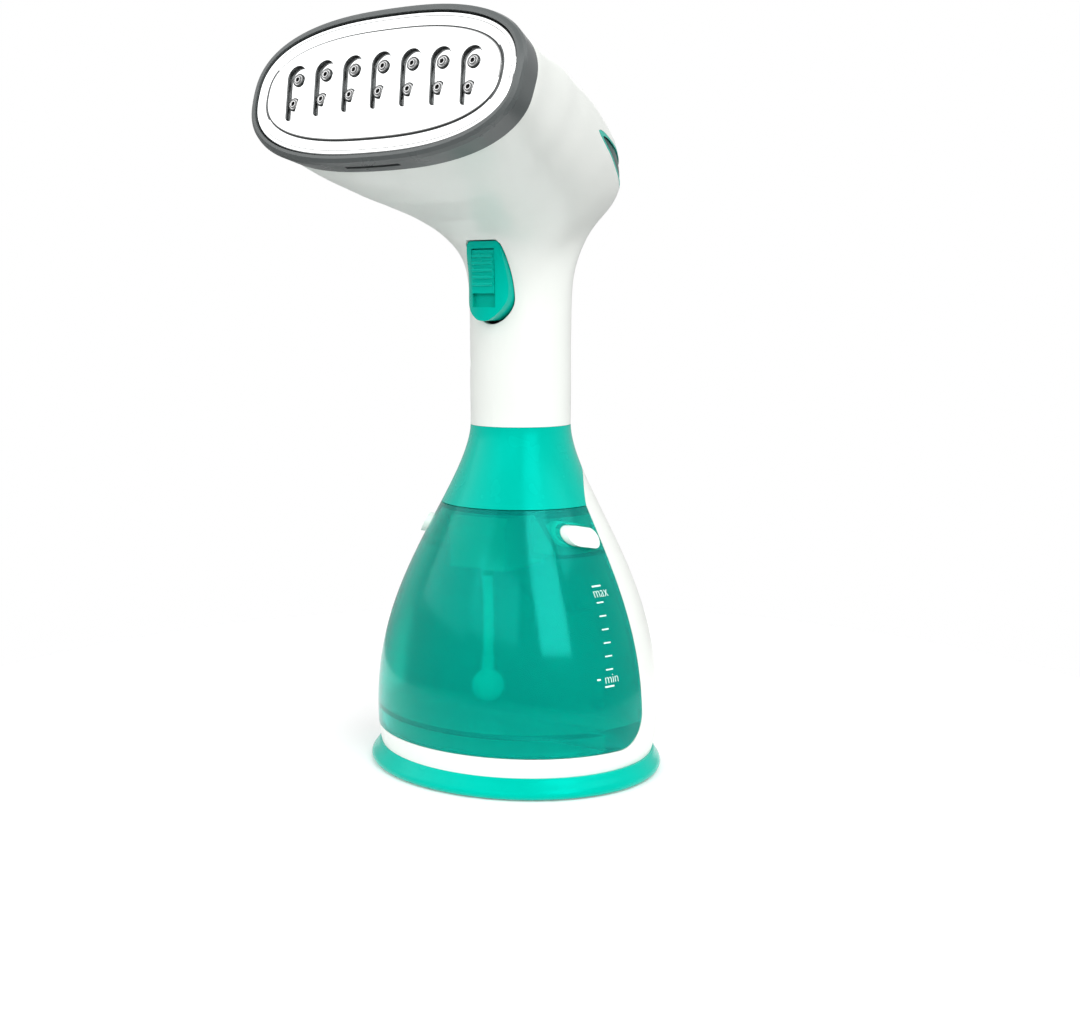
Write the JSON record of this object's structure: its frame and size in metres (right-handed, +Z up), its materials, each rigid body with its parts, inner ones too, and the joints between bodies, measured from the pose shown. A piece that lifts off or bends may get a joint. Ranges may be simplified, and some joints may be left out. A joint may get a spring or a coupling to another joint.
{
  "type": "garment steamer",
  "caption": "Hand-held garment steamer that stands on its foot, with a slotted steam plate, a trigger with a slide lock and a clear water tank that pulls off forwards.",
  "frame": {"origin": "centre of the foot's underside, on the face it rests on", "axes": "+Z up the handle, -Y the way the steam plate faces, +X to the right seen from the front"},
  "size_m": [0.12, 0.1453, 0.2783],
  "materials": {
    "white_shell": "glossy white moulded plastic",
    "teal_gloss": "glossy teal moulded plastic",
    "tank_clear": "clear teal tinted plastic",
    "button_white": "satin off-white plastic",
    "ring_grey": "satin dark grey plastic",
    "plate_polished": "mirror polished steel",
    "nozzle_metal": "dark steel",
    "lens_dark": "dark teal translucent window",
    "rubber_dark": "matt rubber",
    "silicone_clear": "milky silicone",
    "cast_metal": "die cast aluminium",
    "steel": "plated steel",
    "copper_coil": "lacquered copper winding",
    "inner_plastic": "natural moulded plastic",
    "board_green": "solder-masked board",
    "mineral_fibre": "woven mineral fibre",
    "wire_white": "wire insulation"
  },
  "bodies": {
    "housing": {"foot_base": "teal_gloss", "anti_slip_pad": "rubber_dark", "base_screws": "steel", "rear_housing": "white_shell", "bulkhead": "white_shell", "bulkhead_screws": "steel", "dock_spigot": "inner_plastic", "collar": "teal_gloss", "neck_sleeve": "inner_plastic", "head_shell_right": "white_shell", "head_shell_left": "white_shell", "handle_screws": "steel", "rear_bezel": "teal_gloss", "indicator_lens": "lens_dark", "status_lamp": "lens_dark", "head_ring": "ring_grey", "steam_plate": "plate_polished", "steam_nozzles": "nozzle_metal", "plate_gasket": "silicone_clear", "heater_block": "cast_metal", "heating_element": "steel", "boiler_cover": "cast_metal", "thermostat": "steel", "thermal_fuse": "steel", "insulation_sleeve": "mineral_fibre", "plate_screws": "steel", "pump_frame": "steel", "pump_coil": "copper_coil", "pump_cylinder": "inner_plastic", "pump_spring": "steel", "pump_mount": "rubber_dark", "intake_hose": "silicone_clear", "feed_hose": "silicone_clear", "mains_wires": "wire_white", "supply_wires": "wire_white", "heater_wires": "wire_white", "cord_gland": "rubber_dark", "terminal_block": "inner_plastic", "circuit_board": "board_green", "board_parts": "inner_plastic", "switch_bracket": "inner_plastic", "microswitch": "rubber_dark", "trigger_pin": "steel", "trigger_spring": "steel"},
    "tank": {"tank_shell": "tank_clear", "tank_back": "tank_clear", "outlet_manifold": "tank_clear", "outlet_seal": "silicone_clear", "suction_hose": "silicone_clear", "sinker": "tank_clear", "filler_plug": "tank_clear", "latch_spring_left": "steel", "latch_spring_right": "steel"},
    "latch_left": {"latch_button_left": "button_white"},
    "latch_right": {"latch_button_right": "button_white"},
    "trigger": {"trigger": "teal_gloss"},
    "lock_slider": {"lock_slider": "teal_gloss"},
    "switch_plunger": {"switch_plunger": "button_white"},
    "pump_piston": {"pump_piston": "steel"}
  },
  "joints": [
    {"name": "tank_slide", "type": "slide", "parent": "housing", "child": "tank", "axis": [0, -1, 0], "range_m": [0, 0.13]},
    {"name": "latch_left_press", "type": "slide", "parent": "tank", "child": "latch_left", "axis": [1, 0, 0], "range_m": [0, 0.003], "stiffness_N_per_m": 400, "springref_m": -0.002, "deforming": ["latch_spring_left"]},
    {"name": "latch_right_press", "type": "slide", "parent": "tank", "child": "latch_right", "axis": [-1, 0, 0], "range_m": [0, 0.003], "stiffness_N_per_m": 400, "springref_m": -0.002, "deforming": ["latch_spring_right"]},
    {"name": "trigger_hinge", "type": "hinge", "parent": "housing", "child": "trigger", "pos_m": [0, -0.0132, 0.2006], "axis": [1, 0, 0], "range_deg": [0, 6], "stiffness_Nm_per_rad": 0.25, "springref_deg": -6.88, "deforming": ["trigger_spring"]},
    {"name": "lock_slide", "type": "slide", "parent": "trigger", "child": "lock_slider", "axis": [0, 0, -1], "range_m": [0, 0.0046]},
    {"name": "plunger_slide", "type": "slide", "parent": "housing", "child": "switch_plunger", "axis": [0, 1, 0], "range_m": [0, 0.0014]},
    {"name": "piston_slide", "type": "slide", "parent": "housing", "child": "pump_piston", "axis": [1, 0, 0], "range_m": [-0.0015, 0.0015], "stiffness_N_per_m": 600, "deforming": ["pump_spring"]}
  ],
  "couplings": [
    {"joint": "plunger_slide", "follows": "trigger_hinge", "m_per_rad": 0.0124}
  ]
}
